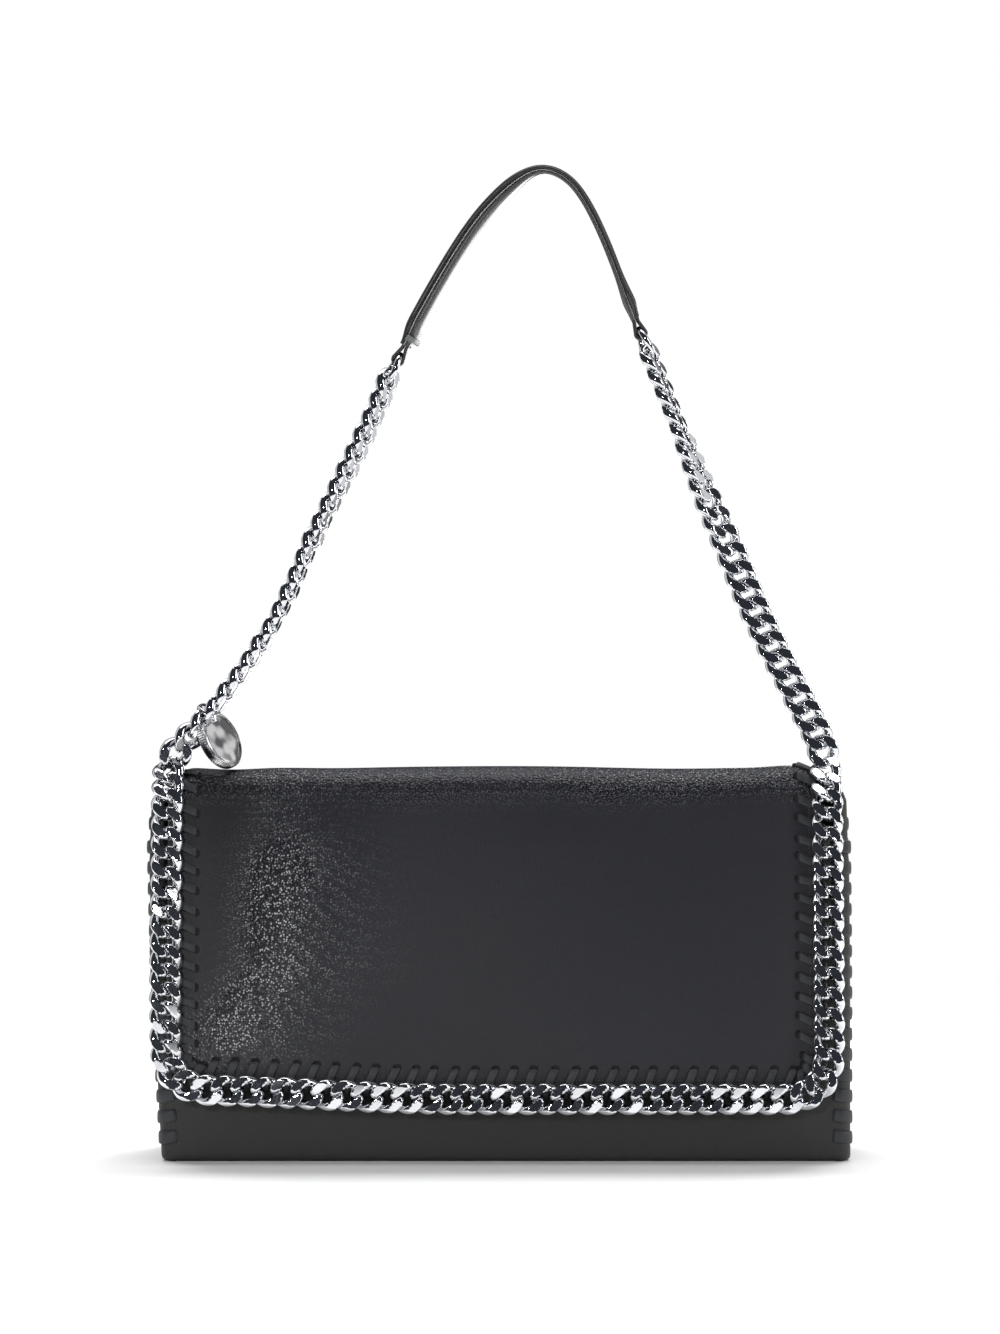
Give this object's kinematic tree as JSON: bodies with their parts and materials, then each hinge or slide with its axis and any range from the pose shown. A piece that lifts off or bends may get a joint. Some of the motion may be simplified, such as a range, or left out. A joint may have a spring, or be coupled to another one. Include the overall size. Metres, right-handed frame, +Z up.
{
  "type": "chain shoulder bag",
  "caption": "Flap shoulder bag in dark leather with a laced-on curb chain round the flap, a chain strap with a leather shoulder pad, a round charm and a snap closure.",
  "frame": {"origin": "middle of the bag's base, on the surface it stands on, centred on the whole bag's width and depth", "axes": "+Z up, +X to the right when facing the flap, the flap faces -Y"},
  "size_m": [0.264, 0.0622, 0.3718],
  "materials": {
    "bag_leather": "fine pebbled grain, slight sheen",
    "lacing_leather": "matte, cut edges",
    "lining_cloth": "fine twill",
    "chain_metal": "polished, dark silver",
    "pad_leather": "smooth, low sheen",
    "pad_filling": "felted",
    "board": "plain",
    "fittings": "satin",
    "zip_tape": "woven"
  },
  "bodies": {
    "bag": {"front_panel": "bag_leather", "back_panel": "bag_leather", "base_panel": "bag_leather", "gusset_left": "bag_leather", "gusset_right": "bag_leather", "flap_fold": "bag_leather", "side_lacing_front_left": "lacing_leather", "side_lacing_front_right": "lacing_leather", "side_lacing_back_left": "lacing_leather", "side_lacing_back_right": "lacing_leather", "lining": "lining_cloth", "flap_fold_lining": "lining_cloth", "zip_pocket": "lining_cloth", "slip_pocket": "lining_cloth", "base_board": "board", "snap_socket": "fittings", "snap_backing": "fittings", "zip_teeth_upper": "fittings", "zip_teeth_lower": "fittings", "zip_stops": "fittings", "zip_tapes": "zip_tape"},
    "flap": {"flap_outer": "bag_leather", "flap_lining": "lining_cloth", "flap_lacing_left": "lacing_leather", "flap_lacing_bottom": "lacing_leather", "flap_lacing_right": "lacing_leather", "flap_chain_left": "chain_metal", "flap_chain_bottom": "chain_metal", "flap_chain_right": "chain_metal", "snap_stud": "fittings", "snap_stud_washer": "fittings"},
    "strap": {"strap_chain_left": "chain_metal", "strap_chain_right": "chain_metal", "corner_link_left": "chain_metal", "corner_link_right": "chain_metal"},
    "pad": {"shoulder_pad": "pad_leather", "pad_core": "pad_filling", "pad_keeper": "pad_leather", "pad_link_left": "chain_metal", "pad_link_right": "chain_metal", "pad_loop_left": "pad_leather", "pad_loop_right": "pad_leather"},
    "charm": {"charm_disc": "chain_metal", "charm_ring": "chain_metal"},
    "zip_slider": {"zip_slider": "fittings"},
    "zip_pull": {"zip_pull": "fittings"}
  },
  "joints": [
    {"name": "flap_open", "type": "hinge", "parent": "bag", "child": "flap", "pos_m": [0, 0.00196, 0.14851], "axis": [-1, 0, 0], "range_deg": [0, 97], "deforming": ["flap_fold", "flap_fold_lining"]},
    {"name": "strap_swing", "type": "hinge", "parent": "bag", "child": "strap", "pos_m": [0, 0.00196, 0.14851], "axis": [-1, 0, 0], "range_deg": [-95, 105]},
    {"name": "pad_tilt", "type": "hinge", "parent": "strap", "child": "pad", "pos_m": [-0.04054, 0.00196, 0.2934], "axis": [0.9955, 0, 0.0945], "range_deg": [-25, 28]},
    {"name": "charm_swing", "type": "hinge", "parent": "strap", "child": "charm", "pos_m": [-0.10676, -0.00244, 0.17378], "axis": [-0.6364, 0, -0.7713], "range_deg": [-5, 50]},
    {"name": "zip_slide", "type": "slide", "parent": "bag", "child": "zip_slider", "axis": [1, 0, 0], "range_m": [0, 0.14]},
    {"name": "zip_pull_turn", "type": "hinge", "parent": "zip_slider", "child": "zip_pull", "pos_m": [-0.0702, 0.016, 0.09164], "axis": [0, 0.1151, -0.9934], "range_deg": [0, 165]}
  ]
}
